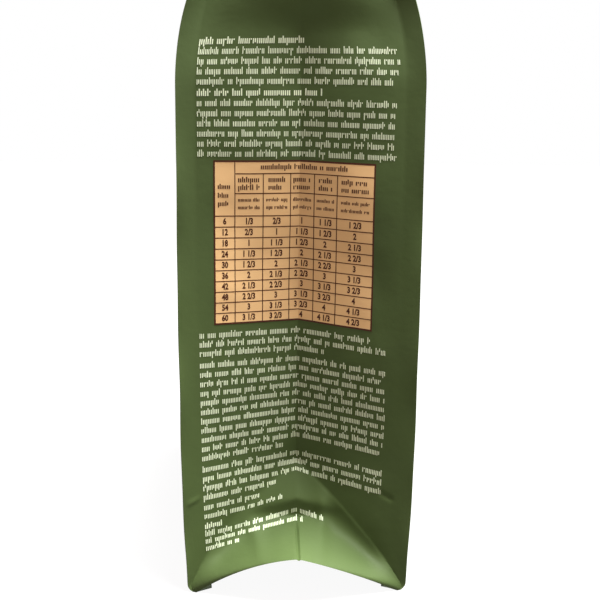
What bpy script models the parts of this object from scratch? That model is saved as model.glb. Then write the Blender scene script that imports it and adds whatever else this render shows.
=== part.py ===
"""A filled film bag with two side gussets and four corner seals, standing upright.

+Z is up, X runs along the wide front and back, and Y is the bag's depth. The printed side gusset
faces +X. The origin is on the floor, under the middle of the bag. All sizes are in metres.

Film places are given by two coordinates. Across a gusset, f runs from 0 at its centre crease to 1
at the tip of a corner seal. Across the front or back, e runs from 0 at the middle to 1 at the tip.
Both are negative on the other half. The height v is measured up the corner seals.
"""

from math import cos, hypot, pi, sqrt

import bmesh
import bpy
from mathutils import Vector

# Overall film sizes
FACE_WIDTH = 0.165
BODY_DEPTH = 0.0836
BASE_DEPTH = 0.0790
BODY_HEIGHT = 0.180
SHOULDER_HEIGHT = 0.085
TOP_SEAL_HEIGHT = 0.012

# Corner seals: two films bonded into one fin
SEAL_WIDTH = 0.0065
SEAL_THICKNESS = 0.0009

# Swell of the filled faces
FACE_BULGE = 0.0085
BASE_BULGE = 0.0030
GUSSET_PILLOW = 0.0015
SHOULDER_ROLL = 0.0020
ROLL_FOOT = 0.186
BULGE_POWER = 2.6
BASE_FLARE_HEIGHT = 0.100

# Folds of a gusset: centre valley, mitre above the floor, tuck under the top seal
CREASE_HEIGHT = 0.225
VALLEY_DEPTH = 0.0215
MITRE_HEIGHT = 0.043
LIP_REACH = 0.0135
LIP_RISE = 0.0188
TUCK_DEPTH = 0.042
LEDGE_DELAY = 0.032

# Dent of the mitre's lower panel on the printed side: its deepest line, in shares of the mitre's
# height, and how far it is set back there
DENT_DEPTH = 0.0142
DENT_REACH = 0.43
DENT_FOOT = 0.41
DENT_FOOT_RISE = 0.37

# Underside: two flat feet and a raised crease between them
BASE_RADIUS = 0.0028
FOOT_WIDTH = 0.0065
ARCH_RISE = 0.0125
ARCH_BLEND = 0.032

# Printed table on the gusset
TABLE_WIDTH = 0.0550
TABLE_BOTTOM = 0.0985
TABLE_TOP = 0.1525

# Mesh spacing
GUSSET_STEPS = 8
TUCK_STEPS = 10
FACE_STEPS = 14
ROW_SPACING = 0.0095

FILM_GREEN = (0.085, 0.115, 0.036, 1.0)
TABLE_TAN = (0.60, 0.36, 0.17, 1.0)

CORNER_X = FACE_WIDTH / 2
LEDGE = BODY_HEIGHT + LEDGE_DELAY
TOP_SEAL_FOOT = BODY_HEIGHT + SHOULDER_HEIGHT
TOP = TOP_SEAL_FOOT + TOP_SEAL_HEIGHT


def clamp(value):
    return min(1.0, max(0.0, value))


def smooth(value):
    t = clamp(value)
    return t * t * (3 - 2 * t)


def fullness(v):
    """1 up to the shoulder, then down along a parabola to 0 at the top seal."""
    return 1 - clamp((v - BODY_HEIGHT) / SHOULDER_HEIGHT) ** 2


def half_depth(v):
    """Distance of a corner seal's tip from the bag's middle plane."""
    flare = clamp(1 - v / BASE_FLARE_HEIGHT)
    body = BODY_DEPTH / 2 - (BODY_DEPTH - BASE_DEPTH) / 2 * flare**2
    short = max(0.0, BASE_RADIUS - v)
    rounding = BASE_RADIUS - sqrt(BASE_RADIUS**2 - short**2)
    return body * fullness(v) - rounding


APEX_TIP_Y = half_depth(MITRE_HEIGHT)
HALF_GUSSET = hypot(VALLEY_DEPTH, APEX_TIP_Y)
GUSSET_ROOT = 1 - SEAL_WIDTH / HALF_GUSSET
FACE_ROOT = 1 - SEAL_WIDTH / CORNER_X
APEX_SLIDE = Vector((-VALLEY_DEPTH, -APEX_TIP_Y, 0.0))
DENT_WAY = Vector((-1.0, 0.0, -0.41))
APEX = Vector((CORNER_X - VALLEY_DEPTH, 0.0, MITRE_HEIGHT))
LIP = Vector((CORNER_X + LIP_REACH, 0.0, LIP_RISE))


def fin_direction(v):
    """Unit vector from a corner seal's root to its tip. It follows the gusset's slope, and turns
    flat towards the top seal."""
    cosine = fullness(v) / hypot(1.0, valley_depth(v) / APEX_TIP_Y)
    return Vector((sqrt(1 - cosine**2), cosine, 0.0))


def fin_tip(v):
    return Vector((CORNER_X, half_depth(v), v))


def valley_depth(v):
    """How far the centre crease lies behind the corner seals' tips."""
    return VALLEY_DEPTH * clamp((CREASE_HEIGHT - v) / (CREASE_HEIGHT - MITRE_HEIGHT))


def tuck(q, v):
    """How far the gusset folds in above its shoulder ledge."""
    rise = clamp((v - LEDGE) / (TOP_SEAL_FOOT - LEDGE))
    return TUCK_DEPTH * sqrt(rise * (2 - rise)) * (1 - q)


def gusset_swell(q, v):
    """Each half of the gusset swells a little, and its middle leans out under the shoulder."""
    swell = smooth((v - MITRE_HEIGHT) / (BODY_HEIGHT - MITRE_HEIGHT))
    roll = SHOULDER_ROLL * smooth((v - ROLL_FOOT) / (LEDGE - ROLL_FOOT)) * (1 - q * q)
    return GUSSET_PILLOW * swell * 4 * q * (1 - q) + roll


def dent(f, g):
    """How far the lower panel is set back: deepest on one line, and 0 at its folds and its lip."""
    foot = DENT_FOOT + DENT_FOOT_RISE * abs(f)
    depth = DENT_DEPTH * clamp(1 - abs(f) / DENT_REACH)
    return depth * min(clamp((1 - g - abs(f)) / max(1 - abs(f) - foot, 0.01)), g / foot)


def upper_gusset(f, v):
    """A point above the mitre, on the half of the gusset with +Y."""
    tip = fin_tip(v)
    root = tip - SEAL_WIDTH * fin_direction(v)
    if f >= GUSSET_ROOT:
        return root.lerp(tip, (f - GUSSET_ROOT) / (1 - GUSSET_ROOT))
    q = f / GUSSET_ROOT
    crease = Vector((CORNER_X - valley_depth(v), 0.0, v))
    return crease.lerp(root, q) + Vector((gusset_swell(q, v) - tuck(q, v), 0.0, 0.0))


def mitre_gusset(f, v):
    """A point beside or below the mitre's diagonal fold, on the half with +Y."""
    g = v / MITRE_HEIGHT
    if f >= 1 - g:
        return fin_tip(v) + (1 - f) * APEX_SLIDE
    fold = fin_tip(v) + g * APEX_SLIDE
    return LIP.lerp(APEX, g).lerp(fold, f / (1 - g))


def gusset_point(f, v, dented=False):
    point = mitre_gusset(abs(f), v) if v < MITRE_HEIGHT else upper_gusset(abs(f), v)
    if f < 0:
        point.y = -point.y
    if dented and v < MITRE_HEIGHT:
        point += dent(f, v / MITRE_HEIGHT) * DENT_WAY
    return point


def face_point(e, v):
    """A point on the back face, at +Y."""
    direction = fin_direction(v)
    outward = Vector((-direction.y, direction.x, 0.0))
    tip = fin_tip(v) + SEAL_THICKNESS * outward
    root = tip - SEAL_WIDTH * direction
    size = abs(e)
    if size >= FACE_ROOT:
        point = root.lerp(tip, (size - FACE_ROOT) / (1 - FACE_ROOT))
    else:
        q = size / FACE_ROOT
        swell = BASE_BULGE + (FACE_BULGE - BASE_BULGE) * smooth(v / BASE_FLARE_HEIGHT)
        bulge = swell * fullness(v) * (1 - q**BULGE_POWER)
        point = Vector((root.x * q, root.y + bulge, v))
    if e < 0:
        point.x = -point.x
    return point


def under_point(e, f):
    """A point on the underside, between the feet and the raised crease."""
    edge = gusset_point(f, 0.0)
    side = face_point(e, 0.0).y
    x = edge.x * e / FACE_ROOT
    y = side * f / GUSSET_ROOT
    roof = ARCH_RISE * clamp(1 - abs(y) / (side - FOOT_WIDTH))
    inward = smooth((edge.x - abs(x)) / ARCH_BLEND)
    return Vector((x, y, edge.z + (roof - edge.z) * inward))


def gusset_columns():
    """Values of f across a gusset, with lines at the table's sides and the feet's inner edges."""
    steps = [i / GUSSET_STEPS for i in range(GUSSET_STEPS) if i / GUSSET_STEPS < 0.8 * GUSSET_ROOT]
    foot = GUSSET_ROOT * (1 - FOOT_WIDTH / face_point(0.0, 0.0).y)
    table = TABLE_WIDTH / 2 / HALF_GUSSET
    half = sorted({*steps, table, foot, GUSSET_ROOT, 1.0})
    return [-f for f in reversed(half[1:])] + half


def face_columns():
    field = [FACE_ROOT * (2 * i / FACE_STEPS - 1) for i in range(FACE_STEPS + 1)]
    return [-1.0, *field, 1.0]


def spread(low, high):
    """Even heights from low, and without high, at about the row spacing."""
    count = max(1, round((high - low) / ROW_SPACING))
    return [low + (high - low) * i / count for i in range(count)]


def row_heights():
    """Heights of the rows. In the mitre they meet the columns on its diagonal folds."""
    folds = [MITRE_HEIGHT * (1 - f) for f in gusset_columns() if 0 < f < 1]
    rounding = [BASE_RADIUS * share for share in (0.2, 0.6)]
    stops = [MITRE_HEIGHT, TABLE_BOTTOM, TABLE_TOP, BODY_HEIGHT, LEDGE]
    above = [v for low, high in zip(stops, stops[1:]) for v in spread(low, high)]
    turns = [1 - cos(pi / 2 * i / TUCK_STEPS) for i in range(TUCK_STEPS)]
    tucks = [LEDGE + (TOP_SEAL_FOOT - LEDGE) * turn for turn in turns]
    return sorted({0.0, *rounding, *folds, *above, *tucks, TOP_SEAL_FOOT})


def mirrored(point, x=1, y=1):
    return (point.x * x, point.y * y, point.z)


class Shell:
    """The bag's closed skin, grown sheet by sheet around shared edge vertices."""

    def __init__(self):
        self.mesh = bmesh.new()
        self.places = {}

    def vertex(self, point):
        key = tuple(round(value, 7) + 0.0 for value in point)
        if key not in self.places:
            self.places[key] = self.mesh.verts.new(point)
        return self.places[key]

    def face(self, corners, material=0):
        ring = [v for i, v in enumerate(corners) if v is not corners[i - 1]]
        if len(ring) > 2:
            self.mesh.faces.new(ring).material_index = material

    def sheet(self, rows, material_of=lambda i, j: 0, fold_of=lambda i, j: False):
        """Quads between rows of vertices, cut along one diagonal where fold_of says so."""
        for j, (low, high) in enumerate(zip(rows, rows[1:])):
            for i in range(len(low) - 1):
                a, b, c, d = low[i], low[i + 1], high[i + 1], high[i]
                material = material_of(i, j)
                if fold_of(i, j):
                    self.face([a, b, d], material)
                    self.face([b, c, d], material)
                else:
                    self.face([a, b, c], material)
                    self.face([a, c, d], material)


def add_gusset(shell, side, columns, heights):
    """One gusset, facing +X for side 1 and -X for side -1. Only the first one has the table and
    the dent."""
    rows = [
        [shell.vertex(mirrored(gusset_point(side * f, v, side > 0), x=side)) for f in columns]
        for v in heights
    ]

    def in_table(i, j):
        middle_f = (columns[i] + columns[i + 1]) / 2
        middle_v = (heights[j] + heights[j + 1]) / 2
        inside = abs(middle_f) * HALF_GUSSET < TABLE_WIDTH / 2
        return int(side > 0 and inside and TABLE_BOTTOM < middle_v < TABLE_TOP)

    shell.sheet(rows, in_table, lambda i, j: columns[i] + columns[i + 1] > 0)
    return rows


def add_face(shell, side, columns, heights):
    """The back face for side 1 and the front face for side -1, with the top seal."""
    rows = [
        [shell.vertex(mirrored(face_point(-side * e, v), y=side)) for e in columns] for v in heights
    ]
    shell.sheet(rows)
    return rows


def add_fin_edges(shell, heights, gussets, faces):
    """The thin outer edges of the four corner seals, and the two ends of the top seal."""
    right, left = gussets
    back, front = faces
    for j in range(len(heights) - 1):
        pairs = (
            (right, -1, back, 0),
            (back, -1, left, 0),
            (left, -1, front, 0),
            (front, -1, right, 0),
        )
        for first, i, second, k in pairs:
            shell.face([first[j][i], second[j][k], second[j + 1][k], first[j + 1][i]])
    for first, second, seam in ((front, back, right), (back, front, left)):
        foot = [first[-2][-1], seam[-1][0], second[-2][0]]
        shell.face([*foot, second[-1][0], first[-1][-1]])
    crest = list(zip(front[-1], reversed(back[-1])))
    for (a, b), (c, d) in zip(crest, crest[1:]):
        shell.face([a, c, d, b])


def add_underside(shell, face_line, gusset_line, gussets, faces):
    """The raised bottom film between the feet, and the lower ends of the corner seals."""
    right, left = (rows[0] for rows in gussets)
    back, front = (rows[0] for rows in faces)
    field_e = face_line[1:-1]
    field_f = gusset_line[1:-1]
    last = len(field_e) - 1
    grid = []
    for j, f in enumerate(field_f):
        row = [shell.vertex(under_point(e, f)) for e in field_e[1:-1]]
        grid.append([left[-2 - j], *row, right[1 + j]])
    grid[0][1:-1] = front[2:-2]
    grid[-1][1:-1] = list(reversed(back[2:-2]))
    necks = {
        (0, 0): (left[-2], front[1]),
        (0, last - 1): (front[-2], right[1]),
        (len(grid) - 2, last - 1): (right[-2], back[1]),
        (len(grid) - 2, 0): (back[-2], left[1]),
    }
    for j, (low, high) in enumerate(zip(grid, grid[1:])):
        for i in range(last):
            corners = [low[i], high[i], high[i + 1], low[i + 1]]
            neck = necks.get((j, i))
            if neck:
                shared = next(n for n, v in enumerate(corners) if v in neck)
                corners[shared:shared + 1] = reversed(neck)
            shell.face(corners)
    for first, second in ((right, back), (back, left), (left, front), (front, right)):
        shell.face([first[-2], second[1], second[0], first[-1]])


def build_bag():
    gusset_line = gusset_columns()
    face_line = face_columns()
    heights = row_heights()
    shell = Shell()
    gussets = [add_gusset(shell, side, gusset_line, heights) for side in (1, -1)]
    faces = [add_face(shell, side, face_line, [*heights, TOP]) for side in (1, -1)]
    add_fin_edges(shell, heights, gussets, faces)
    add_underside(shell, face_line, gusset_line, gussets, faces)
    bmesh.ops.triangulate(shell.mesh, faces=shell.mesh.faces)
    mesh = bpy.data.meshes.new("bag")
    shell.mesh.to_mesh(mesh)
    shell.mesh.free()
    return mesh


def make_material(name, color, roughness):
    material = bpy.data.materials.new(name)
    material.use_nodes = True
    shader = material.node_tree.nodes["Principled BSDF"]
    shader.inputs["Base Color"].default_value = color
    shader.inputs["Roughness"].default_value = roughness
    shader.inputs["Metallic"].default_value = 0.0
    return material


def main():
    for old in list(bpy.data.objects):
        bpy.data.objects.remove(old, do_unlink=True)
    mesh = build_bag()
    mesh.materials.append(make_material("film", FILM_GREEN, 0.45))
    mesh.materials.append(make_material("table_print", TABLE_TAN, 0.5))
    bag = bpy.data.objects.new("bag", mesh)
    bpy.context.scene.collection.objects.link(bag)


main()
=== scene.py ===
"""The looks of a filled film bag with two side gussets, four corner seals and a flat top seal.

+Z is up and the printed gusset faces +X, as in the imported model. Lengths are in metres.

Film places are given by two coordinates. Across a gusset, f runs from 0 at its centre crease to 1
at the tip of a corner seal, and s is the same in metres of film. Across the front or back, e runs
from 0 at the middle to 1 at the tip. Both are negative on the other half. The height v is measured
up the corner seals.
"""

import random
from math import cos, hypot, pi, radians, sin, sqrt

import bmesh
import bpy
import numpy as np
from mathutils import Matrix, Vector, noise


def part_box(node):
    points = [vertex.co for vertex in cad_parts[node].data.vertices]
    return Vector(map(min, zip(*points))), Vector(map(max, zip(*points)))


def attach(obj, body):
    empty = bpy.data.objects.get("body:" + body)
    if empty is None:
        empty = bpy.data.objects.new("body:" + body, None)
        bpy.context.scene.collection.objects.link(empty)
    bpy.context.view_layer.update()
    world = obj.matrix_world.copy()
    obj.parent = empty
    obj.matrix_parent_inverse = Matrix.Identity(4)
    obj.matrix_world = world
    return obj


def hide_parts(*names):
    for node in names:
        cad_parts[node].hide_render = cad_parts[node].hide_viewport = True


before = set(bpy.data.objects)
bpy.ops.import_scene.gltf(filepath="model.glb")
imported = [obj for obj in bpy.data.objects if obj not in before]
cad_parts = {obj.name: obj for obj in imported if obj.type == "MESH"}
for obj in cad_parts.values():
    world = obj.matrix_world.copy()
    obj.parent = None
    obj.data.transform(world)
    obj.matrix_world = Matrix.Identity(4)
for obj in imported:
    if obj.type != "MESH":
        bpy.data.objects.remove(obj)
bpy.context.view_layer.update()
BAG_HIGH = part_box("bag")[1]

# Folds of a gusset: centre valley, mitre above the floor, tuck under the top seal
MITRE_HEIGHT = 0.043
VALLEY_DEPTH = 0.0215
CREASE_HEIGHT = 0.225
LIP_REACH = 0.0135
LIP_RISE = 0.0188
TUCK_DEPTH = 0.042
LEDGE_DELAY = 0.032

# Overall film sizes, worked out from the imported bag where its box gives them
TOP = BAG_HIGH.z
CORNER_X = BAG_HIGH.x - LIP_REACH
TOP_SEAL_HEIGHT = 0.012
SHOULDER_HEIGHT = 0.085
TOP_SEAL_FOOT = TOP - TOP_SEAL_HEIGHT
BODY_HEIGHT = TOP_SEAL_FOOT - SHOULDER_HEIGHT
LEDGE = BODY_HEIGHT + LEDGE_DELAY
BODY_DEPTH = 0.0836
BASE_DEPTH = 0.0790

# Corner seals: two films bonded into one fin
SEAL_WIDTH = 0.0065
FIN_THICKNESS = 0.0005
FIN_WAVE = 0.0004
LONG_WAVE = 0.0131
SHORT_WAVE = 0.0057

# Swell of the filled faces
FACE_BULGE = 0.0085
BASE_BULGE = 0.0030
GUSSET_PILLOW = 0.0010
SHOULDER_ROLL = 0.0020
ROLL_FOOT = 0.198
FILL_SWELL = 0.0013
FILL_HEIGHT = 0.163
FILL_REACH = 0.025
BULGE_POWER = 2.6
BASE_FLARE_HEIGHT = 0.100

# Underside: two flat feet and a raised crease between them
BASE_RADIUS = 0.0028
FOOT_WIDTH = 0.0065
ARCH_RISE = 0.0125
ARCH_BLEND = 0.032

# Hollows and swells of the fill, as pairs of height and size
GUSSET_SWELLS = ((0.0007, 0.030), (0.00025, 0.011))
PLAIN_GUSSET_SWELLS = ((0.0008, 0.032), (0.00025, 0.011))
FACE_SWELLS = ((0.0013, 0.048), (0.00035, 0.014))
GUSSET_EDGE = 0.010
FACE_EDGE = 0.016
TOP_EDGE = 0.03

# Wrinkles: a ridge and a crease in the printed side's seals, and a crease down each shoulder.
# Each is given by its start, its end and its width.
SEAL_RIDGE = ((-0.0455, 0.0330), (-0.0395, 0.0355), 0.0009)
SEAL_RIDGE_RISE = 0.00025
SEAL_CREASE = ((0.0335, 0.0360), (0.0400, 0.0335), 0.0010)
SEAL_CREASE_DEPTH = 0.00035
SHOULDER_CREASE = ((0.070, BODY_HEIGHT + 0.058), (0.040, BODY_HEIGHT - 0.006), 0.0045)
SHOULDER_CREASE_DEPTH = 0.0010
RIB_RISE = 0.00012
ROOF_SWELL = 0.0004

# Mesh spacing
GUSSET_STEPS = 50
FACE_STEPS = 44
FIN_STEPS = 7
ROW_SPACING = 0.0012
TUCK_STEPS = 40
RIB_PITCH = 0.0020
ROWS_PER_RIB = 6
EDGE = 1e-9

RIGHT, LEFT = 1, -1


def clamp(value):
    return np.clip(value, 0.0, 1.0)


def smooth(value):
    t = clamp(value)
    return t * t * (3 - 2 * t)


def points_of(x, y, z):
    return np.stack(np.broadcast_arrays(x, y, z), axis=-1).astype(float)


def blend(a, b, share):
    return a + (b - a) * np.asarray(share)[..., None]


def fullness(v):
    """1 up to the shoulder, then down along a parabola to 0 at the top seal."""
    return 1 - clamp((v - BODY_HEIGHT) / SHOULDER_HEIGHT) ** 2


def half_depth(v):
    """Distance of a corner seal's tip from the bag's middle plane."""
    flare = clamp(1 - v / BASE_FLARE_HEIGHT)
    body = BODY_DEPTH / 2 - (BODY_DEPTH - BASE_DEPTH) / 2 * flare**2
    short = np.maximum(0.0, BASE_RADIUS - v)
    rounding = BASE_RADIUS - np.sqrt(BASE_RADIUS**2 - short**2)
    return body * fullness(v) - rounding


APEX_TIP_Y = float(half_depth(MITRE_HEIGHT))
HALF_GUSSET = hypot(VALLEY_DEPTH, APEX_TIP_Y)
GUSSET_ROOT = 1 - SEAL_WIDTH / HALF_GUSSET
FACE_ROOT = 1 - SEAL_WIDTH / CORNER_X
APEX_SLIDE = np.array((-VALLEY_DEPTH, -APEX_TIP_Y, 0.0))
APEX = np.array((CORNER_X - VALLEY_DEPTH, 0.0, MITRE_HEIGHT))
LIP = np.array((CORNER_X + LIP_REACH, 0.0, LIP_RISE))


def fin_direction(v):
    """Unit vector from a corner seal's root to its tip. It follows the gusset's slope, and turns
    flat towards the top seal."""
    cosine = fullness(v) / np.hypot(1.0, valley_depth(v) / APEX_TIP_Y)
    return points_of(np.sqrt(1 - cosine**2), cosine, 0.0)


def fin_outward(v):
    direction = fin_direction(v)
    return points_of(-direction[..., 1], direction[..., 0], 0.0)


def fin_tip(v):
    return points_of(CORNER_X, half_depth(v), v)


def valley_depth(v):
    """How far the centre crease lies behind the corner seals' tips."""
    return VALLEY_DEPTH * clamp((CREASE_HEIGHT - v) / (CREASE_HEIGHT - MITRE_HEIGHT))


def tuck(q, v):
    """How far the gusset folds in above its shoulder ledge."""
    rise = clamp((v - LEDGE) / (TOP_SEAL_FOOT - LEDGE))
    return TUCK_DEPTH * np.sqrt(rise * (2 - rise)) * (1 - q)


def gusset_swell(q, v):
    """Each half of the gusset swells a little. Its middle is pushed out where the fill ends, and
    leans out under the shoulder."""
    swell = smooth((v - MITRE_HEIGHT) / (BODY_HEIGHT - MITRE_HEIGHT))
    roll = SHOULDER_ROLL * smooth((v - ROLL_FOOT) / (LEDGE - ROLL_FOOT)) * (1 - q * q)
    fill = FILL_SWELL * np.exp(-(((v - FILL_HEIGHT) / FILL_REACH) ** 2)) * (1 - q * q)
    return GUSSET_PILLOW * swell * 4 * q * (1 - q) + fill + roll


# The mitre folds bow outwards a little. The mesh follows them: its column number a equals f where
# they would be straight, so that a + v / MITRE_HEIGHT = 1 is always the fold.
MITRE_BOW = {LEFT: 0.125, RIGHT: 0.075}


def bow_of(across):
    return np.where(across < 0, MITRE_BOW[LEFT], MITRE_BOW[RIGHT])


def film_from_grid(a, v):
    g = clamp(v / MITRE_HEIGHT)
    size = np.abs(a)
    below = size * (1 + 4 * bow_of(a) * g)
    above = 1 - (1 - size) * (1 - 4 * bow_of(a) * (1 - g))
    return np.sign(a) * np.where(size <= 1 - g, below, above)


def grid_from_film(f, v):
    g = clamp(v / MITRE_HEIGHT)
    size = np.abs(f)
    fold = (1 - g) * (1 + 4 * bow_of(f) * g)
    below = size / (1 + 4 * bow_of(f) * g)
    above = 1 - (1 - size) / (1 - 4 * bow_of(f) * (1 - g))
    return np.sign(f) * np.where(size <= fold, below, above)


def upper_gusset(f, v):
    """Points above the mitre, on the half of the gusset with +Y."""
    tip = fin_tip(v)
    root = tip - SEAL_WIDTH * fin_direction(v)
    fin = blend(root, tip, (f - GUSSET_ROOT) / (1 - GUSSET_ROOT))
    q = np.minimum(f / GUSSET_ROOT, 1.0)
    crease = points_of(CORNER_X - valley_depth(v), 0.0, v)
    forward = gusset_swell(q, v) - tuck(q, v)
    field = blend(crease, root, q) + points_of(forward, 0.0, 0.0)
    return np.where((f >= GUSSET_ROOT)[..., None], fin, field)


def mitre_gusset(a, f, v):
    """Points beside or below the mitre's diagonal fold, on the half with +Y."""
    g = clamp(v / MITRE_HEIGHT)
    size = np.abs(a)
    strip = fin_tip(v) + (1 - np.abs(f))[..., None] * APEX_SLIDE
    fold_f = (1 - g) * (1 + 4 * bow_of(a) * g)
    fold = fin_tip(v) + (1 - fold_f)[..., None] * APEX_SLIDE
    centre = LIP + (APEX - LIP) * g[..., None]
    panel = blend(centre, fold, np.minimum(size / np.maximum(1 - g, EDGE), 1.0))
    return np.where((size >= 1 - g)[..., None], strip, panel)


def plain_gusset(side, a, v):
    """A gusset without its small dents: it faces +X for side 1 and -X for side -1."""
    a, v = np.broadcast_arrays(side * a, v)
    f = film_from_grid(a, v)
    low = (v < MITRE_HEIGHT)[..., None]
    grid = np.where(low, mitre_gusset(a, f, v), upper_gusset(np.abs(f), v))
    grid[..., 1] *= np.where(a < 0, -1.0, 1.0)
    grid[..., 0] *= side
    return grid


def plain_face(side, e, v):
    """The back face for side 1 and the front face for side -1, without small dents."""
    e, v = np.broadcast_arrays(-side * e, v)
    size = np.abs(e)
    tip = fin_tip(v) + FIN_THICKNESS * fin_outward(v)
    root = tip - SEAL_WIDTH * fin_direction(v)
    fin = blend(root, tip, (size - FACE_ROOT) / (1 - FACE_ROOT))
    q = np.minimum(size / FACE_ROOT, 1.0)
    swell = BASE_BULGE + (FACE_BULGE - BASE_BULGE) * smooth(v / BASE_FLARE_HEIGHT)
    bulge = swell * fullness(v) * (1 - q**BULGE_POWER)
    field = points_of(root[..., 0] * q, root[..., 1] + bulge, v)
    grid = np.where((size >= FACE_ROOT)[..., None], fin, field)
    grid[..., 0] *= np.where(e < 0, -1.0, 1.0)
    grid[..., 1] *= side
    return grid


def gusset_columns():
    """Column numbers, even across the field, closer beside the centre crease and the seal's tip."""
    field = [GUSSET_ROOT * i / GUSSET_STEPS for i in range(GUSSET_STEPS + 1)]
    fin = [GUSSET_ROOT + (1 - GUSSET_ROOT) * i / FIN_STEPS for i in range(1, FIN_STEPS + 1)]
    beside_crease = 0.00037 / HALF_GUSSET
    beside_tip = 1 - 0.0003 / MITRE_HEIGHT
    half = sorted({*field, *fin, beside_crease, beside_tip})
    return np.array([-a for a in reversed(half[1:])] + half)


def face_columns():
    field = [FACE_ROOT * (2 * i / FACE_STEPS - 1) for i in range(FACE_STEPS + 1)]
    fin = [FACE_ROOT + (1 - FACE_ROOT) * i / FIN_STEPS for i in range(1, FIN_STEPS + 1)]
    return np.array([-e for e in reversed(fin)] + field + fin)


def row_heights(columns):
    """Heights of the rows. In the mitre they meet the columns on its diagonal folds."""
    folds = [MITRE_HEIGHT * (1 - a) for a in columns if 0 <= a <= 1]
    count = round((LEDGE - MITRE_HEIGHT) / ROW_SPACING)
    body = [MITRE_HEIGHT + (LEDGE - MITRE_HEIGHT) * i / count for i in range(1, count)]
    turns = [1 - cos(pi / 2 * i / TUCK_STEPS) for i in range(TUCK_STEPS + 1)]
    tucks = [LEDGE + (TOP_SEAL_FOOT - LEDGE) * turn for turn in turns]
    return np.array(sorted({*folds, *body, *tucks}))


def seal_heights():
    """Rows of the top seal, above its foot, close enough to draw its ribs."""
    count = round(TOP_SEAL_HEIGHT / RIB_PITCH * ROWS_PER_RIB)
    return np.array([TOP_SEAL_FOOT + TOP_SEAL_HEIGHT * i / count for i in range(1, count + 1)])


def grid_normals(grid):
    """Outward unit normals. Columns run anticlockwise seen from above, and rows run up."""
    normal = np.cross(np.gradient(grid, axis=1), np.gradient(grid, axis=0))
    return normal / np.maximum(np.linalg.norm(normal, axis=-1, keepdims=True), 1e-12)


def waves(grid, size, seed):
    """Smooth noise from -1 to 1 with hollows and swells of about the given size."""
    shift = Vector((7.3 * seed, 3.1 * seed, 5.7 * seed))
    flat = [noise.noise(Vector(point) / size + shift) for point in grid.reshape(-1, 3)]
    return np.array(flat).reshape(grid.shape[:-1])


def swells_of(grid, parts, seed):
    """The swells of a sheet, from pairs of height and size."""
    return sum(height * waves(grid, size, seed + k) for k, (height, size) in enumerate(parts))


def ridge(s, v, start, end, width):
    """1 along a straight line on the film, fading to its sides and towards both of its ends."""
    (s0, v0), (s1, v1) = start, end
    length = hypot(s1 - s0, v1 - v0)
    along = ((s - s0) * (s1 - s0) + (v - v0) * (v1 - v0)) / length**2
    aside = ((s - s0) * (v1 - v0) - (v - v0) * (s1 - s0)) / length
    return np.exp(-((aside / width) ** 2)) * smooth(2 - np.abs(4 * along - 2))


def relax(grid, weight, passes):
    """Rounds sharp folds where weight is above 0."""
    for _ in range(passes):
        middle = grid[1:-1, 1:-1]
        around = grid[:-2, 1:-1] + grid[2:, 1:-1] + grid[1:-1, :-2] + grid[1:-1, 2:]
        middle += 0.5 * weight[1:-1, 1:-1, None] * (around / 4 - middle)
    return grid


def wave_fins(grid, line, heights, root):
    """Slow waves of the corner seals' free edges, the same for both films of a seal."""
    v = heights[:, None]
    side_x = np.where(grid[..., 0] < 0, -1.0, 1.0)
    side_y = np.where(grid[..., 1] < 0, -1.0, 1.0)
    phase = 1.7 * side_x + 2.9 * side_y
    ends = smooth(v / 0.02) * smooth((TOP_SEAL_FOOT - v) / 0.03)
    share = clamp((np.abs(line) - root) / (1 - root))[None, :] ** 2
    wave = np.sin(v / LONG_WAVE + phase) + 0.6 * np.sin(v / SHORT_WAVE + 2 * phase)
    push = FIN_WAVE * ends * share * wave
    outward = fin_outward(heights)[:, None, :]
    return grid + points_of(push * side_x * outward[..., 0], push * side_y * outward[..., 1], 0.0)


# The mitre's lower panel on the printed side. Below its folds the film first drops steeply, then
# turns in under a roll, and comes out nearly level to the lip. Places are shares of the mitre's
# height, and slopes are set-backs in metres for one such share.
DROP_SLOPE = 0.018
DROP_WIDENING = 1.4
DROP_END = {LEFT: 0.42, RIGHT: 0.28}
BAND_TOP = 0.59
BAND_TOP_CURVE = 0.40
BAND_FOOT = 0.41
BAND_FOOT_RISE = 0.37
BAND_SLOPE = 0.041
BAND_END = {LEFT: 0.46, RIGHT: 0.50}
BAND_EDGE = 0.035
STRIP_SLOPE = {LEFT: 0.032, RIGHT: 0.038}
STRIP_WIDTH = {LEFT: 0.40, RIGHT: 0.44}
STRIP_START = {LEFT: 0.24, RIGHT: 0.15}
STRIP_END = 0.88
LEVEL_FOOT = 0.53
SIGHT_LINE = np.array((-1.0, 0.0, -0.41))
PANEL_NORMAL = np.array((0.57, 0.0, 0.82))
LIP_BOW = {LEFT: 0.0026, RIGHT: 0.0008}
CREASE_DEPTH = 0.0010
CREASE_WIDTH = 0.00045
SOFT_FOLD_WIDTH = 0.0035
SOFT_FOLD_PASSES = 14
SOFT_PANEL_PASSES = 14


def by_half(across, values):
    return np.where(across < 0, values[LEFT], values[RIGHT])


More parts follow.
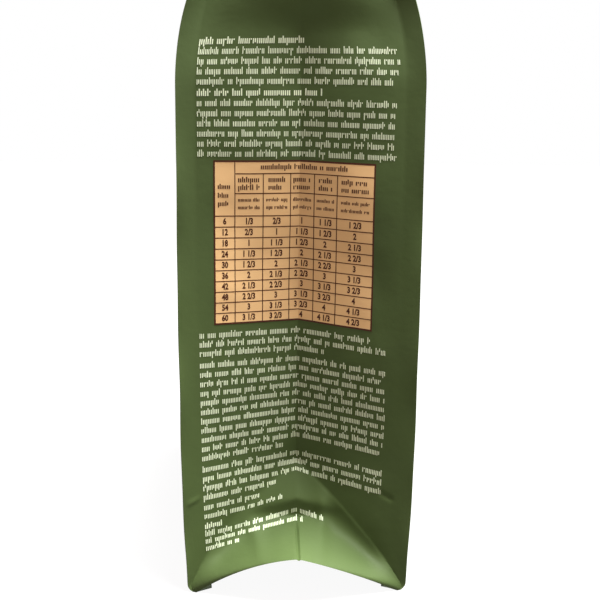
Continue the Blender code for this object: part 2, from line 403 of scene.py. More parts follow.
def set_back(a, g, heights):
    """How far the places of the lower panel lie behind a flat one."""
    size = np.abs(a)
    depth = 1 - g - size
    top = BAND_TOP + BAND_TOP_CURVE * a * a
    foot = BAND_FOOT + BAND_FOOT_RISE * size
    drop = DROP_SLOPE * (1 + DROP_WIDENING * size) * smooth((g - top) / BAND_EDGE + 0.5)
    drop = drop * smooth((by_half(a, DROP_END) - size) / 0.14)
    band = smooth((top - g) / BAND_EDGE + 0.5) * smooth((g - foot) / BAND_EDGE + 0.5)
    band = BAND_SLOPE * band * smooth((by_half(a, BAND_END) - size) / 0.24)
    width = by_half(a, STRIP_WIDTH) * np.maximum(1 - size, EDGE)
    strip = by_half(a, STRIP_SLOPE) * clamp(1 - (depth / width) ** 2)
    strip = strip * smooth((size - by_half(a, STRIP_START)) / 0.16) * smooth((STRIP_END - size) / 0.28)
    steep = np.maximum(drop + band, strip) * smooth(depth / 0.02)
    spans = np.diff(heights)[:, None] / MITRE_HEIGHT
    total = np.zeros_like(steep)
    total[:-1] = np.cumsum(((steep[1:] + steep[:-1]) / 2 * spans)[::-1], axis=0)[::-1]
    end = np.minimum(foot, LEVEL_FOOT * np.maximum(1 - size, EDGE))
    return total * clamp(g / end)


def dent_lower_panel(grid, a, v, heights):
    g = clamp(v / MITRE_HEIGHT)
    grid += set_back(a, g, heights)[..., None] * SIGHT_LINE
    y = grid[..., 1]
    inside = smooth((1 - g - np.abs(a)) / 0.08) * smooth(g / 0.10)
    inside = inside * smooth(4 * np.abs(y) / MITRE_HEIGHT)
    grid = relax(grid, np.where(g < 1, inside, 0.0), SOFT_PANEL_PASSES)
    crease = CREASE_DEPTH * np.exp(-((y / CREASE_WIDTH) ** 2)) * smooth((0.40 - g) * 8)
    grid -= crease[..., None] * PANEL_NORMAL
    size = np.abs(a)
    grid[..., 2] += by_half(a, LIP_BOW) * 4 * size * (1 - size) * (1 - g) ** 3
    return grid


def printed_gusset(columns, heights):
    a, v = np.broadcast_arrays(columns[None, :], heights[:, None])
    s = film_from_grid(a, v) * HALF_GUSSET
    g = v / MITRE_HEIGHT
    grid = dent_lower_panel(plain_gusset(RIGHT, a, v), a, v, heights)
    from_fold = (np.abs(a) + g - 1) * MITRE_HEIGHT / sqrt(2)
    left_fold = (a < 0) & (g < 1)
    soft = np.exp(-((from_fold / SOFT_FOLD_WIDTH) ** 2)) * left_fold * smooth(4 * g - 0.6)
    grid = relax(grid, soft, SOFT_FOLD_PASSES)
    grid = relax(grid, 0.5 * smooth((GUSSET_ROOT - np.abs(a)) * 20), 1)
    field = smooth((GUSSET_ROOT - np.abs(a)) * HALF_GUSSET / GUSSET_EDGE) * smooth(v / 0.012)
    swells = swells_of(grid, GUSSET_SWELLS, 1)
    seal = SEAL_RIDGE_RISE * ridge(s, v, *SEAL_RIDGE)
    seal = seal - SEAL_CREASE_DEPTH * ridge(s, v, *SEAL_CREASE)
    grid += (swells * field + seal)[..., None] * grid_normals(grid)
    return wave_fins(grid, columns, heights, GUSSET_ROOT)


def plain_side(columns, heights):
    """The gusset that faces -X."""
    a, v = np.broadcast_arrays(columns[None, :], heights[:, None])
    grid = plain_gusset(LEFT, a, v)
    field = smooth((GUSSET_ROOT - np.abs(a)) * HALF_GUSSET / GUSSET_EDGE) * smooth(v / 0.012)
    swells = swells_of(grid, PLAIN_GUSSET_SWELLS, 5)
    grid += (swells * field)[..., None] * grid_normals(grid)
    return wave_fins(grid, columns, heights, GUSSET_ROOT)


def wide_face(side, columns, heights, seed):
    """The back face for side 1 and the front face for side -1, with the top seal."""
    e, v = np.broadcast_arrays(columns[None, :], heights[:, None])
    grid = plain_face(side, e, v)
    field = smooth((FACE_ROOT - np.abs(e)) * CORNER_X / FACE_EDGE)
    field = field * smooth(v / FACE_EDGE) * smooth((TOP_SEAL_FOOT - v) / TOP_EDGE)
    swells = swells_of(grid, FACE_SWELLS, seed)
    for half in (LEFT, RIGHT):
        crease = ridge(half * grid[..., 0], v, *SHOULDER_CREASE)
        swells = swells - SHOULDER_CREASE_DEPTH * crease
    grid += (swells * field)[..., None] * grid_normals(grid)
    grid = wave_fins(grid, columns, heights, FACE_ROOT)
    v = seal_heights()[:, None]
    rib = RIB_RISE * np.sin(2 * pi * (v - TOP_SEAL_FOOT) / RIB_PITCH) * smooth((TOP - v) / 0.0012)
    band = points_of(grid[-1:, :, 0], side * FIN_THICKNESS + rib, v)
    return np.concatenate([grid, band])


class Skin:
    """Points and faces of one mesh, grown sheet by sheet."""

    def __init__(self):
        self.points = []
        self.faces = []
        self.count = 0

    def add(self, grid):
        """Adds a grid of points and returns their numbers in the same layout."""
        self.points.append(grid.reshape(-1, 3))
        numbers = np.arange(self.count, self.count + grid[..., 0].size).reshape(grid.shape[:-1])
        self.count += numbers.size
        return numbers

    def face(self, corners):
        self.faces.append([int(corner) for corner in corners])

    def sheet(self, numbers, cut=lambda i, j: 0):
        """Quads over a grid, cut into triangles along one diagonal where cut says so."""
        for j in range(len(numbers) - 1):
            low, high = numbers[j].tolist(), numbers[j + 1].tolist()
            for i in range(len(low) - 1):
                a, b, c, d = low[i], low[i + 1], high[i + 1], high[i]
                way = cut(i, j)
                if way > 0:
                    self.faces += [[a, b, d], [b, c, d]]
                elif way < 0:
                    self.faces += [[a, b, c], [a, c, d]]
                else:
                    self.faces.append([a, b, c, d])

    def build(self, name):
        """The mesh, with points that coincide merged."""
        mesh = bpy.data.meshes.new(name)
        mesh.from_pydata(np.concatenate(self.points).tolist(), [], self.faces)
        shape = bmesh.new()
        shape.from_mesh(mesh)
        bmesh.ops.remove_doubles(shape, verts=shape.verts, dist=2e-6)
        shape.to_mesh(mesh)
        shape.free()
        return mesh


def close_fins(skin, numbers, rows):
    """The thin outer edges of the corner seals and of the top seal."""
    right, back, left, front = numbers
    for first, second in ((right, back), (back, left), (left, front), (front, right)):
        for j in range(rows - 1):
            skin.face((first[j, -1], second[j, 0], second[j + 1, 0], first[j + 1, -1]))
    for first, second, seam in ((front, back, right), (back, front, left)):
        foot = (first[rows - 1, -1], seam[-1, 0], second[rows - 1, 0])
        skin.face((*foot, second[rows, 0], first[rows, -1]))
        for j in range(rows, len(first) - 1):
            skin.face((first[j, -1], second[j, 0], second[j + 1, 0], first[j + 1, -1]))
    crest = list(zip(front[-1], back[-1][::-1]))
    for (a, b), (c, d) in zip(crest, crest[1:]):
        skin.face((a, c, d, b))


def under_points(e, f, gusset_edge, side_y):
    """The underside between the feet and the raised crease. Its border is replaced later."""
    edge_x = gusset_edge[:, 0][:, None]
    edge_z = gusset_edge[:, 2][:, None]
    x = edge_x * e[None, :] / FACE_ROOT
    y = side_y * f[:, None] / GUSSET_ROOT + 0 * x
    roof = ARCH_RISE * clamp(1 - np.abs(y) / (side_y - FOOT_WIDTH))
    inward = smooth((edge_x - np.abs(x)) / ARCH_BLEND)
    grid = points_of(x, y, edge_z + (roof - edge_z) * inward)
    grid[..., 2] += ROOF_SWELL * waves(grid, 0.02, 31) * smooth((grid[..., 2] - 0.002) / 0.004)
    return grid


def close_underside(skin, numbers, columns, face_line, right_edge, side_y):
    """The bottom film between the feet, and the lower ends of the corner seals."""
    right, back, left, front = (grid[0] for grid in numbers)
    in_field = np.flatnonzero(np.abs(columns) <= GUSSET_ROOT + EDGE)
    along = np.flatnonzero(np.abs(face_line) <= FACE_ROOT + EDGE)
    inner = under_points(face_line[along], columns[in_field], right_edge[in_field], side_y)
    grid = skin.add(inner)
    front_field, back_field = front[along], back[along][::-1]
    grid[:, -1] = right[in_field]
    grid[:, 0] = left[in_field][::-1]
    grid[0, 1:-1] = front_field[1:-1]
    grid[-1, 1:-1] = back_field[1:-1]
    top, last = len(in_field) - 1, len(along) - 1
    necks = {
        (0, 0): (grid[0, 0], front_field[0]),
        (0, last - 1): (front_field[-1], grid[0, -1]),
        (top - 1, last - 1): (grid[-1, -1], back_field[-1]),
        (top - 1, 0): (back_field[0], grid[-1, 0]),
    }
    for j in range(top):
        for i in range(last):
            corners = [grid[j, i], grid[j + 1, i], grid[j + 1, i + 1], grid[j, i + 1]]
            neck = necks.get((j, i))
            if neck:
                shared = next(n for n, corner in enumerate(corners) if corner in neck)
                corners[shared:shared + 1] = reversed(neck)
            skin.face(corners)
    gusset_fin, face_fin = in_field[0], along[0]
    widths = {len(columns): gusset_fin, len(face_line): face_fin}
    for one, other in ((right, back), (back, left), (left, front), (front, right)):
        down_other = other[:widths[len(other)] + 1][::-1]
        up_one = one[::-1][:widths[len(one)] + 1]
        skin.face([*down_other, *up_one])


def build_bag(columns, heights, printed):
    """The whole skin: four sheets, the seals' edges and the underside."""
    face_line = face_columns()
    back = wide_face(1, face_line, heights, 11)
    front = wide_face(-1, face_line, heights, 21)
    skin = Skin()
    numbers = [skin.add(grid) for grid in (printed, back, plain_side(columns, heights), front)]

    def cut_at_fold(i, j):
        if heights[j] > MITRE_HEIGHT - EDGE:
            return 0
        return 1 if columns[i] + columns[i + 1] > 0 else -1

    for number, cut in zip(numbers, (cut_at_fold, None, cut_at_fold, None)):
        skin.sheet(number, cut) if cut else skin.sheet(number)
    close_fins(skin, numbers, len(heights))
    side_y = float(back[0, len(face_line) // 2, 1])
    close_underside(skin, numbers, columns, face_line, printed[0], side_y)
    return skin.build("bag_film")


# Print on the gusset


class Film:
    """Finds places on the printed gusset's finished mesh from their film coordinates."""

    def __init__(self, columns, heights, grid):
        self.columns = columns
        self.heights = heights
        self.grid = grid
        self.normals = grid_normals(grid)

    def place(self, s, v, lift):
        """Points for arrays of film places, lifted off the film along its normal."""
        s, v = np.broadcast_arrays(s, v)
        a = grid_from_film(s / HALF_GUSSET, v)
        i = np.clip(np.searchsorted(self.columns, a) - 1, 0, len(self.columns) - 2)
        j = np.clip(np.searchsorted(self.heights, v) - 1, 0, len(self.heights) - 2)
        x = (a - self.columns[i]) / (self.columns[i + 1] - self.columns[i])
        y = (v - self.heights[j]) / (self.heights[j + 1] - self.heights[j])
        low = self.heights[j] < MITRE_HEIGHT - EDGE
        rising = low & (self.columns[i] + self.columns[i + 1] > 0)
        falling = low & ~rising
        shares = np.stack([(1 - x) * (1 - y), x * (1 - y), x * y, (1 - x) * y], axis=-1)
        none = 0 * x
        near = np.stack([1 - x - y, x, none, y], axis=-1)
        far = np.stack([none, 1 - y, x + y - 1, 1 - x], axis=-1)
        shares = np.where(rising[..., None], np.where((x + y <= 1)[..., None], near, far), shares)
        near = np.stack([1 - x, x - y, y, none], axis=-1)
        far = np.stack([1 - y, none, x, y - x], axis=-1)
        shares = np.where(falling[..., None], np.where((y <= x)[..., None], near, far), shares)
        corners = ((j, i), (j, i + 1), (j + 1, i + 1), (j + 1, i))
        point = sum(shares[..., k, None] * self.grid[corner] for k, corner in enumerate(corners))
        normal = sum(shares[..., k, None] * self.normals[corner] for k, corner in enumerate(corners))
        return point + lift * normal / np.linalg.norm(normal, axis=-1, keepdims=True)


INK_LIFT = 0.00008
TABLE_LIFT = 0.00005
INK_SINK = -0.00010
PRINT_STEP = 0.0010

# Print slopes a little across the film: how much higher than at its left end a row lies at the
# centre crease and at the right seal, for rows at some heights
ROW_HEIGHTS = (0.015, 0.030, 0.084, 0.125, 0.195)
ROW_AT_CREASE = (-0.0010, 0.0010, -0.0005, -0.0005, 0.0010)
ROW_AT_RIGHT = (-0.0010, -0.0022, -0.0034, -0.0028, 0.0010)
RIGHT_MARGIN = 0.0355

# Where rows start: a little further out towards the top
LEFT_MARGIN = -0.0385
TOP_LEFT_MARGIN = -0.0392
MARGIN_HEIGHTS = (0.045, 0.195)


def left_margin(v):
    """Where a row starts whose left end lies at height v."""
    return np.interp(v, MARGIN_HEIGHTS, (LEFT_MARGIN, TOP_LEFT_MARGIN))


def row_place(s, v):
    """The film height at s of a row whose left end lies at height v."""
    at_crease = np.interp(v, ROW_HEIGHTS, ROW_AT_CREASE)
    at_right = np.interp(v, ROW_HEIGHTS, ROW_AT_RIGHT)
    left = at_crease * clamp((s - LEFT_MARGIN) / -LEFT_MARGIN)
    return v + np.where(s < 0, left, at_crease + (at_right - at_crease) * s / RIGHT_MARGIN)


# Rows of running print: height of the first row's middle, row pitch, right ends, bold ends
BLOCKS = (
    (0.1945, 0.00325, (0.0015, 0.0383, 0.0376, 0.0371, 0.0349), 0.0015),
    (0.1778, 0.00333, (0.0082, 0.0362, 0.0361, 0.0360, 0.0359, 0.0358, 0.0366), 0.0082),
    (0.0948, 0.00330, (0.0286, 0.0348, 0.0110), None),
    (0.0840, 0.00345, (0.0348,) * 10 + (-0.0052,), -0.0003),
    (0.0452, 0.00350, (0.0348, 0.0350, 0.0352, -0.0086), None),
    (0.0308, 0.00340, (-0.0158, -0.0057), None),
    (0.0235, 0.00297, (-0.0298, 0.0116, 0.0032, -0.0243), -0.0298),
)
X_HEIGHT = 0.00165
TALL = 0.00070
STROKE = 0.00032
BOLD_STROKE = 0.00045
HEAD_STROKE = 0.00060
STROKE_GAP = 0.00030
LETTER_GAP = 0.00038
WORD_GAP = 0.00110


def greek_row(start, end, rng, scale=1.0, stroke=STROKE):
    """Upright strokes that stand for the words of a row: left edge, width, bottom and top."""
    marks = []
    at = start
    while at < end - 2 * STROKE:
        for _ in range(rng.choice((2, 3, 3, 4, 5, 5, 6, 7, 8, 9))):
            count = rng.choice((1, 2, 2, 2, 2, 3))
            tall = rng.randrange(count) if rng.random() < 0.30 else None
            deep = tall is None and rng.random() < 0.12
            for number in range(count):
                if at + stroke * scale > end:
                    break
                top = X_HEIGHT / 2 + (TALL if number == tall else 0.0)
                bottom = -X_HEIGHT / 2 - (TALL if deep and number == 0 else 0.0)
                if count == 2 and number == 1 and rng.random() < 0.35:
                    bottom = rng.choice((-0.30, 0.05, 0.22)) * X_HEIGHT
                marks.append((at, stroke * scale, bottom * scale, top * scale))
                at += (stroke + STROKE_GAP) * scale
            at += (LETTER_GAP - STROKE_GAP) * scale
        at += WORD_GAP * scale
    return marks


def block_outline(left, width, bottom, top):
    return [(left, bottom), (left + width, bottom), (left + width, top), (left, top)]


def add_stamps(skin, film, outlines, lift):
    """Thin closed blocks of ink over the outlines, which all have as many places."""
    outline = np.array(outlines)
    v = row_place(outline[..., 0], outline[..., 2]) + outline[..., 1]
    top = skin.add(film.place(outline[..., 0], v, lift))
    bottom = skin.add(film.place(outline[..., 0], v, INK_SINK))
    count = outline.shape[1]
    for upper, lower in zip(top, bottom):
        skin.face(upper)
        skin.face(lower[::-1])
        for k in range(count):
            following = (k + 1) % count
            skin.face((lower[k], lower[following], upper[following], upper[k]))


def add_slab(skin, top, bottom):
    """A closed slab between two grids of points in the same layout."""
    upper, lower = skin.add(top), skin.add(bottom)
    skin.sheet(upper)
    skin.sheet(lower[:, ::-1])
    border = [
        *[(0, i) for i in range(upper.shape[1])],
        *[(j, -1) for j in range(1, upper.shape[0])],
        *[(-1, i) for i in range(upper.shape[1] - 2, -1, -1)],
        *[(j, 0) for j in range(upper.shape[0] - 2, 0, -1)],
    ]
    for one, other in zip(border, border[1:] + border[:1]):
        skin.face((lower[one], lower[other], upper[other], upper[one]))


def steps(start, end, through=()):
    """Places from start to end at the print spacing, and at the given places between them."""
    count = max(2, round((end - start) / PRINT_STEP) + 1)
    inner = [place for place in through if start < place < end]
    return np.array(sorted({*np.linspace(start, end, count).tolist(), *inner}))


# The table: its column lines, and its row lines at its left side
TABLE_COLUMNS = (-0.0328, -0.0250, -0.0142, -0.0036, 0.0057, 0.0145, 0.0286)
TABLE_TOP = 0.1555
TABLE_BOTTOM = 0.0989
HEAD_LINE = 0.1513
UNIT_LINE = 0.1446
BODY_TOP = 0.1369
BODY_ROWS = 10
THIN_LINE = 0.00034
BORDER_LINE = 0.00060

# Rows of marks in the head cells, and their sizes as shares of the running print
SIDE_HEADS = (0.1468, 0.1438, 0.1410)
HEADS = (0.1491, 0.1465)
SMALL_HEADS = (0.1423, 0.1397)
TITLE_WIDTH = 0.034
HEAD_SCALE = 0.80
SIDE_HEAD_SCALE = 0.75
SMALL_HEAD_SCALE = 0.55


def add_table_field(skin, film):
    s = steps(TABLE_COLUMNS[0], TABLE_COLUMNS[-1], (0.0,))
    v = steps(TABLE_BOTTOM, TABLE_TOP)[:, None]
    height = row_place(s[None, :], v)
    add_slab(skin, film.place(s[None, :], height, TABLE_LIFT), film.place(s[None, :], height, INK_SINK))


def add_rule(skin, film, start, end, width):
    """A ruled line of the table, between two places given by s and the row height at its left."""
    (s0, v0), (s1, v1) = start, end
    if s0 == s1:
        s = np.array((s0 - width / 2, s0 + width / 2))[None, :]
        v = steps(v0, v1)[:, None]
    else:
        s = steps(s0, s1, (0.0,))[None, :]
        v = np.array((v0 - width / 2, v0 + width / 2))[:, None]
    height = row_place(s + 0 * v, v + 0 * s)
    add_slab(skin, film.place(s, height, INK_LIFT), film.place(s, height, INK_SINK))


def table_rows():
    return [BODY_TOP - (BODY_TOP - TABLE_BOTTOM) * i / BODY_ROWS for i in range(BODY_ROWS + 1)]


def add_table_lines(skin, film):
    left, right = TABLE_COLUMNS[0], TABLE_COLUMNS[-1]
    half = BORDER_LINE / 2
    for height in (TABLE_BOTTOM, TABLE_TOP):
        add_rule(skin, film, (left - half, height), (right + half, height), BORDER_LINE)
    for s in (left, right):
        add_rule(skin, film, (s, TABLE_BOTTOM), (s, TABLE_TOP), BORDER_LINE)
    add_rule(skin, film, (TABLE_COLUMNS[1], HEAD_LINE), (right, HEAD_LINE), THIN_LINE)
    add_rule(skin, film, (TABLE_COLUMNS[1], UNIT_LINE), (right, UNIT_LINE), THIN_LINE)
    for height in table_rows()[:-1]:
        add_rule(skin, film, (left, height), (right, height), THIN_LINE)
    add_rule(skin, film, (TABLE_COLUMNS[1], TABLE_BOTTOM), (TABLE_COLUMNS[1], TABLE_TOP), THIN_LINE)
    for s in TABLE_COLUMNS[2:-1]:
        add_rule(skin, film, (s, TABLE_BOTTOM), (s, HEAD_LINE), THIN_LINE)


def head_marks(rng):
    """Blocks for the words in the table's head cells."""
    outlines = []

    def centred(middle, height, width, scale):
        start, end = middle - width / 2, middle + width / 2
        for mark in greek_row(start, end, rng, scale, HEAD_STROKE):
            outlines.append([(s, rise, height) for s, rise in block_outline(*mark)])

    title_middle = (TABLE_COLUMNS[1] + TABLE_COLUMNS[-1]) / 2
    centred(title_middle, (TABLE_TOP + HEAD_LINE) / 2, TITLE_WIDTH, HEAD_SCALE)
    cells = list(zip(TABLE_COLUMNS, TABLE_COLUMNS[1:]))
    for k, (low, high) in enumerate(cells):
        middle, width = (low + high) / 2, (high - low) * 0.78
        if k == 0:
            for height in SIDE_HEADS:
                centred(middle, height, width * 0.85, SIDE_HEAD_SCALE)
            continue
        for height in HEADS:
            centred(middle, height, width * (1.0 if k % 2 else 0.8), HEAD_SCALE)
        for height in SMALL_HEADS:
            centred(middle, height, width, SMALL_HEAD_SCALE)
    return outlines


NUMBER_SIZE = 0.0030
NUMBER_WIDTH = 0.82
NUMBER_WEIGHT = 0.00012


def digit_outlines(text, middle, height):
    """Triangles of a short plain number, centred in its cell."""
    curve = bpy.data.curves.new("digits", "FONT")
    curve.body = text
    curve.size = NUMBER_SIZE
    curve.align_x = "CENTER"
    curve.align_y = "CENTER"
    curve.resolution_u = 2
    curve.offset = NUMBER_WEIGHT
    holder = bpy.data.objects.new("digits", curve)
    mesh = holder.to_mesh()
    flat = [(v.co.x * NUMBER_WIDTH + middle, v.co.y, height) for v in mesh.vertices]
    faces = [list(p.vertices) for p in mesh.polygons]
    holder.to_mesh_clear()
    bpy.data.objects.remove(holder)
    bpy.data.curves.remove(curve)
    return flat, faces


def add_digits(skin, film, text, middle, height):
    flat, faces = digit_outlines(text, middle, height)
    flat = np.array(flat)
    v = row_place(flat[:, 0], flat[:, 2]) + flat[:, 1]
    upper = skin.add(film.place(flat[:, 0], v, INK_LIFT))
    lower = skin.add(film.place(flat[:, 0], v, INK_SINK))
    edges = {}
    for corners in faces:
        skin.face([upper[k] for k in corners])
        skin.face([lower[k] for k in reversed(corners)])
        for one, other in zip(corners, corners[1:] + corners[:1]):
            edges[(one, other)] = (other, one) in edges or edges.get((one, other), False)
    for one, other in list(edges):
        if (other, one) not in edges:
            skin.face((lower[one], lower[other], upper[other], upper[one]))


def table_numbers():
    """Plain numbers: sixes down the first column, and thirds that count up over the others."""
    rows = table_rows()
    for row, (high, low) in enumerate(zip(rows, rows[1:])):
        for column, (left, right) in enumerate(zip(TABLE_COLUMNS, TABLE_COLUMNS[1:])):
            whole, part = divmod(row + column, 3)
            text = " ".join(filter(None, (str(whole) if whole else "", ("", "1/3", "2/3")[part])))
            value = str(6 * (row + 1)) if column == 0 else text
            yield value, (left + right) / 2, (high + low) / 2


def build_print(film):
    rng = random.Random(7)
    rows, table, marks = Skin(), Skin(), Skin()
    outlines = []
    for first, pitch, ends, bold_end in BLOCKS:
        for number, end in enumerate(ends):
            height = first - number * pitch
            stroke = BOLD_STROKE if number == 0 and bold_end == end else STROKE
            for mark in greek_row(float(left_margin(height)), end, rng, 1.0, stroke):
                outlines.append([(s, rise, height) for s, rise in block_outline(*mark)])
    add_stamps(rows, film, outlines, INK_LIFT)
    add_table_field(table, film)
    add_table_lines(marks, film)
    add_stamps(marks, film, head_marks(rng), INK_LIFT)
    for text, middle, height in table_numbers():
        add_digits(marks, film, text, middle, height)
    return rows.build("print_rows"), table.build("print_table"), marks.build("print_table_marks")


# Materials


def linear(red, green, blue):
    """A screen colour, each channel from 0 to 255, as the shader's own values."""
    channels = [value / 255 for value in (red, green, blue)]
    return tuple(c / 12.92 if c <= 0.04045 else ((c + 0.055) / 1.055) ** 2.4 for c in channels) + (1.0,)


FILM_GREEN = linear(62, 79, 37)
INK_CREAM = linear(216, 228, 198)
TABLE_TAN = linear(226, 188, 134)
INK_BROWN = linear(64, 28, 12)
FILM_GLOSS = 0.32
FILM_ROUGHNESS = (0.67, 0.77)
INK_GLOSS = 0.20
INK_ROUGHNESS = 0.50
TABLE_ROUGHNESS = 0.45


def new_material(name, color, roughness, gloss):
    material = bpy.data.materials.new(name)
    material.use_nodes = True
    shader = material.node_tree.nodes["Principled BSDF"]
    shader.inputs["Base Color"].default_value = color
    shader.inputs["Roughness"].default_value = roughness
    shader.inputs["Specular IOR Level"].default_value = gloss
    return material, material.node_tree, shader


def noise_node(tree, place, scale, detail=3.0):
    node = tree.nodes.new("ShaderNodeTexNoise")
    node.inputs["Scale"].default_value = scale
    node.inputs["Detail"].default_value = detail
    tree.links.new(place.outputs["Object"], node.inputs["Vector"])
    return node


def map_node(tree, source, low, high):
    node = tree.nodes.new("ShaderNodeMapRange")
    node.inputs["From Min"].default_value = 0.3
    node.inputs["From Max"].default_value = 0.7
    node.inputs["To Min"].default_value = low
    node.inputs["To Max"].default_value = high
    tree.links.new(source.outputs["Fac"], node.inputs["Value"])
    return node


def vary(tree, shader, place, color, scale, spread):
    """Makes the colour a little lighter and darker from place to place."""
    wide = map_node(tree, noise_node(tree, place, scale), 1 - spread, 1 + spread)
    mix = tree.nodes.new("ShaderNodeVectorMath")
    mix.operation = "SCALE"
    mix.inputs[0].default_value = color[:3]
    tree.links.new(wide.outputs["Result"], mix.inputs["Scale"])
    tree.links.new(mix.outputs["Vector"], shader.inputs["Base Color"])


def bump(tree, shader, place, scale, distance):
    node = tree.nodes.new("ShaderNodeBump")
    node.inputs["Strength"].default_value = 1.0
    node.inputs["Distance"].default_value = distance
    tree.links.new(noise_node(tree, place, scale).outputs["Fac"], node.inputs["Height"])
    tree.links.new(node.outputs["Normal"], shader.inputs["Normal"])
    return node


def film_material():
    material, tree, shader = new_material("film", FILM_GREEN, FILM_ROUGHNESS[0], FILM_GLOSS)
    place = tree.nodes.new("ShaderNodeTexCoord")
    vary(tree, shader, place, FILM_GREEN, 35.0, 0.05)
    rough = map_node(tree, noise_node(tree, place, 60.0), *FILM_ROUGHNESS)
    tree.links.new(rough.outputs["Result"], shader.inputs["Roughness"])
    bump(tree, shader, place, 420.0, 0.00006)
    return material


def ink_material(name, color, roughness, scale=300.0, spread=0.05):
    material, tree, shader = new_material(name, color, roughness, INK_GLOSS)
    place = tree.nodes.new("ShaderNodeTexCoord")
    vary(tree, shader, place, color, scale, spread)
    bump(tree, shader, place, 420.0, 0.00004)
    return material


# Stage

FLOOR_SIZE = 6.0
FLOOR_BOUNCE = (0.05, 0.045, 0.04, 1.0)
FLOOR_SHADE = (0.06, 0.06, 0.06, 1.0)
FLOOR_GLOW = 0.94
FAR_GLOW = 1.0
SHADOW_REACH = (0.15, 0.60)
AMBIENT = 0.70
AMBIENT_TINT = (1.0, 0.78, 0.72, 1.0)
KEY_DIRECTION = (0.08, 0.25, 0.965)
KEY_DISTANCE = 1.6
KEY_SIZE = 0.8
KEY_POWER = 168.0
LENS = 60.0
CAMERA_PLACE = (0.42157, -0.01324, 0.17184)
CAMERA_YAW = -0.03946
CAMERA_PITCH = 0.18518
CAMERA_ROLL = 0.00867


def seen_directly(tree):
    """1 for rays from the camera, or by way of gloss or glass, and 0 for others."""
    path = tree.nodes.new("ShaderNodeLightPath")
    total = path.outputs["Is Camera Ray"]
    for name in ("Is Glossy Ray", "Is Transmission Ray"):
        larger = tree.nodes.new("ShaderNodeMath")
        larger.operation = "MAXIMUM"
        tree.links.new(total, larger.inputs[0])
        tree.links.new(path.outputs[name], larger.inputs[1])
        total = larger.outputs["Value"]
    return total


def floor_material():
    """Pale where it is seen, with the bag's shadow, and a weak mirror of light for the bag."""
    material = bpy.data.materials.new("floor")
    material.use_nodes = True
    tree = material.node_tree
    tree.nodes.clear()
    output = tree.nodes.new("ShaderNodeOutputMaterial")
    bounce = tree.nodes.new("ShaderNodeBsdfDiffuse")
    bounce.inputs["Color"].default_value = FLOOR_BOUNCE
    shade = tree.nodes.new("ShaderNodeBsdfDiffuse")
    shade.inputs["Color"].default_value = FLOOR_SHADE
    glow = tree.nodes.new("ShaderNodeEmission")
    place = tree.nodes.new("ShaderNodeTexCoord")
    reach = tree.nodes.new("ShaderNodeVectorMath")
    reach.operation = "LENGTH"
    tree.links.new(place.outputs["Object"], reach.inputs[0])
    level = tree.nodes.new("ShaderNodeMapRange")
    level.inputs["From Min"].default_value = SHADOW_REACH[0]
    level.inputs["From Max"].default_value = SHADOW_REACH[1]
    level.inputs["To Min"].default_value = FLOOR_GLOW
    level.inputs["To Max"].default_value = FAR_GLOW
    tree.links.new(reach.outputs["Value"], level.inputs["Value"])
    tree.links.new(level.outputs["Result"], glow.inputs["Strength"])
    both = tree.nodes.new("ShaderNodeAddShader")
    tree.links.new(shade.outputs["BSDF"], both.inputs[0])
    tree.links.new(glow.outputs["Emission"], both.inputs[1])
    mix = tree.nodes.new("ShaderNodeMixShader")
    tree.links.new(seen_directly(tree), mix.inputs["Fac"])
    tree.links.new(bounce.outputs["BSDF"], mix.inputs[1])
    tree.links.new(both.outputs["Shader"], mix.inputs[2])
    tree.links.new(mix.outputs["Shader"], output.inputs["Surface"])
    return material


def build_floor():
    mesh = bpy.data.meshes.new("floor")
    half = FLOOR_SIZE / 2
    corners = [(-half, -half, 0.0), (half, -half, 0.0), (half, half, 0.0), (-half, half, 0.0)]
    mesh.from_pydata(corners, [], [(0, 1, 2, 3)])
    floor = link("floor", mesh, floor_material())


def build_world():
    world = bpy.data.worlds.new("studio")
    bpy.context.scene.world = world
    world.use_nodes = True
    tree = world.node_tree
    tree.nodes.clear()
    output = tree.nodes.new("ShaderNodeOutputWorld")
    soft = tree.nodes.new("ShaderNodeBackground")
    soft.inputs["Strength"].default_value = AMBIENT
    white = tree.nodes.new("ShaderNodeBackground")
    white.inputs["Color"].default_value = (1.0, 1.0, 1.0, 1.0)
    soft.inputs["Color"].default_value = AMBIENT_TINT
    path = tree.nodes.new("ShaderNodeLightPath")
    mix = tree.nodes.new("ShaderNodeMixShader")
    tree.links.new(path.outputs["Is Camera Ray"], mix.inputs["Fac"])
    tree.links.new(soft.outputs["Background"], mix.inputs[1])
    tree.links.new(white.outputs["Background"], mix.inputs[2])
    tree.links.new(mix.outputs["Shader"], output.inputs["Surface"])


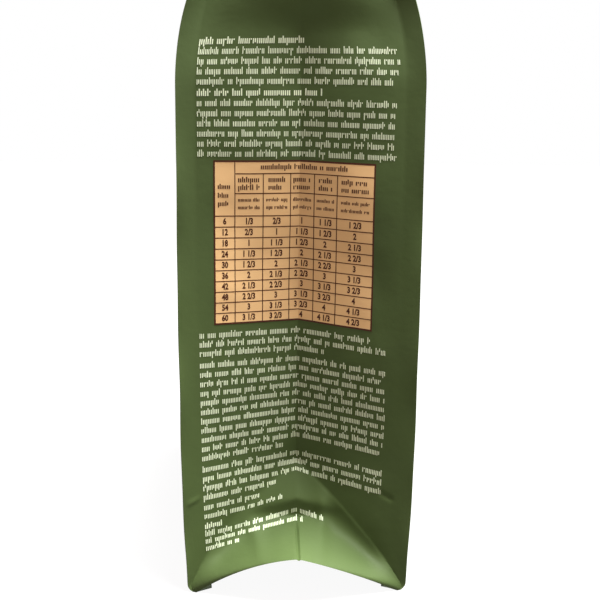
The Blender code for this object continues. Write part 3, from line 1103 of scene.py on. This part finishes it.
def build_key():
    light = bpy.data.lights.new("key", "AREA")
    light.shape = "DISK"
    light.size = KEY_SIZE
    light.energy = KEY_POWER
    lamp = bpy.data.objects.new("key", light)
    direction = Vector(KEY_DIRECTION).normalized()
    lamp.location = direction * KEY_DISTANCE
    lamp.rotation_euler = direction.to_track_quat("Z", "Y").to_euler()
    bpy.context.scene.collection.objects.link(lamp)


def build_camera():
    data = bpy.data.cameras.new("camera")
    data.lens = LENS
    camera = bpy.data.objects.new("camera", data)
    forward = Vector((
        -cos(CAMERA_PITCH) * cos(CAMERA_YAW), -cos(CAMERA_PITCH) * sin(CAMERA_YAW), -sin(CAMERA_PITCH)
    ))
    level = Vector((-sin(CAMERA_YAW), cos(CAMERA_YAW), 0.0))
    upright = level.cross(forward)
    right = level * cos(CAMERA_ROLL) + upright * sin(CAMERA_ROLL)
    up = upright * cos(CAMERA_ROLL) - level * sin(CAMERA_ROLL)
    turn = Matrix((right, up, -forward)).transposed()
    camera.matrix_world = Matrix.Translation(CAMERA_PLACE) @ turn.to_4x4()
    bpy.context.scene.collection.objects.link(camera)
    bpy.context.scene.camera = camera


def link(name, mesh, material):
    mesh.materials.append(material)
    piece = bpy.data.objects.new(name, mesh)
    bpy.context.scene.collection.objects.link(piece)
    return piece


def main():
    bpy.context.scene.view_settings.view_transform = "Standard"
    build_camera()
    build_world()
    build_key()
    build_floor()
    columns = gusset_columns()
    heights = row_heights(columns)
    printed = printed_gusset(columns, heights)
    bag_mesh = build_bag(columns, heights, printed)
    bag_mesh.shade_smooth()
    bag_mesh.set_sharp_from_angle(angle=radians(40))
    bag = link("bag_film", bag_mesh, film_material())
    film = Film(columns, heights, printed)
    rows, table, marks = build_print(film)
    pieces = [
        bag,
        link("print_rows", rows, ink_material("ink_cream", INK_CREAM, INK_ROUGHNESS)),
        link("print_table", table, ink_material("ink_tan", TABLE_TAN, TABLE_ROUGHNESS, 60.0, 0.03)),
        link("print_table_marks", marks, ink_material("ink_brown", INK_BROWN, INK_ROUGHNESS)),
    ]
    for piece in pieces:
        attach(piece, "root")
    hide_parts("bag")


main()
